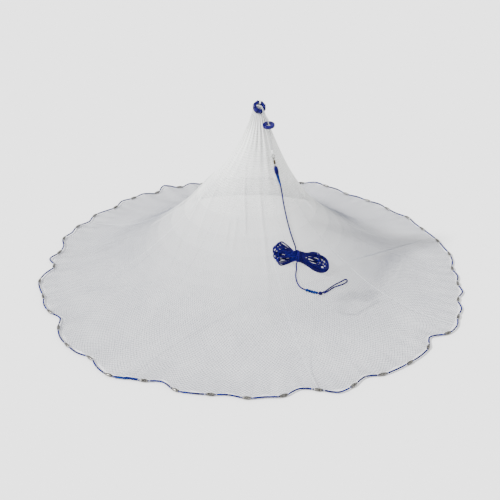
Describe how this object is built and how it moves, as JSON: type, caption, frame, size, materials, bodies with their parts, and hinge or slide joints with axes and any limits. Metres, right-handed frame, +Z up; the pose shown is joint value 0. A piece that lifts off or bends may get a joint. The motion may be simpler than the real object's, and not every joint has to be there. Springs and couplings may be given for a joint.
{
  "type": "cast net",
  "caption": "Throw net spread in a ring on its weighted hem with the horn raised, with brail lines, swivel and a hanked hand line with wrist loop.",
  "frame": {"origin": "on the floor under the middle of the ring that the hem makes", "axes": "+Z up, -Y towards the side that the hand line lies on, +X to the right seen from there"},
  "size_m": [1.7672, 1.8177, 0.7551],
  "materials": {
    "netting": "matte translucent monofilament mesh",
    "white_cord": "matte twisted twine",
    "brail_mono": "satin monofilament line",
    "lead_rope": "matte braided rope",
    "sinker_lead": "worn grey lead",
    "horn_plastic": "gloss moulded plastic",
    "swivel_wire": "satin wire",
    "swivel_brass": "darkened brass",
    "blue_rope": "satin braided rope"
  },
  "bodies": {
    "root": {"netting_panel_1": "netting", "netting_panel_2": "netting", "netting_panel_3": "netting", "netting_panel_4": "netting", "netting_panel_5": "netting", "netting_panel_6": "netting", "netting_panel_7": "netting", "netting_panel_8": "netting", "seam_lacing": "white_cord", "hem_lashings": "white_cord", "brail_ties": "white_cord", "horn_lashing": "white_cord", "brail_lines": "brail_mono", "brail_knot": "brail_mono", "lead_line": "lead_rope", "lead_line_join": "lead_rope", "sinkers": "sinker_lead", "horn_ring": "horn_plastic", "swivel_ring": "swivel_wire", "swivel_upper_eye": "swivel_wire", "swivel_lower_eye": "swivel_wire", "eye_splice": "blue_rope", "splice_taper": "blue_rope", "hand_line_upper": "blue_rope", "hand_line_hank": "blue_rope", "hand_line_tail": "blue_rope", "wrist_splice": "blue_rope", "wrist_knot": "blue_rope", "wrist_loop": "blue_rope"},
    "swivel_barrel": {"swivel_barrel": "swivel_brass"},
    "spreader_ring": {"spreader_ring": "horn_plastic"}
  },
  "joints": [
    {"name": "swivel_spin", "type": "hinge", "parent": "root", "child": "swivel_barrel", "pos_m": [0.09643, -0.08168, 0.53096], "axis": [0.2174, -0.4015, -0.8897], "continuous": true},
    {"name": "spreader_slide", "type": "slide", "parent": "root", "child": "spreader_ring", "axis": [0.1457, -0.1863, -0.9716], "range_m": [-0.008, 0.018]}
  ]
}
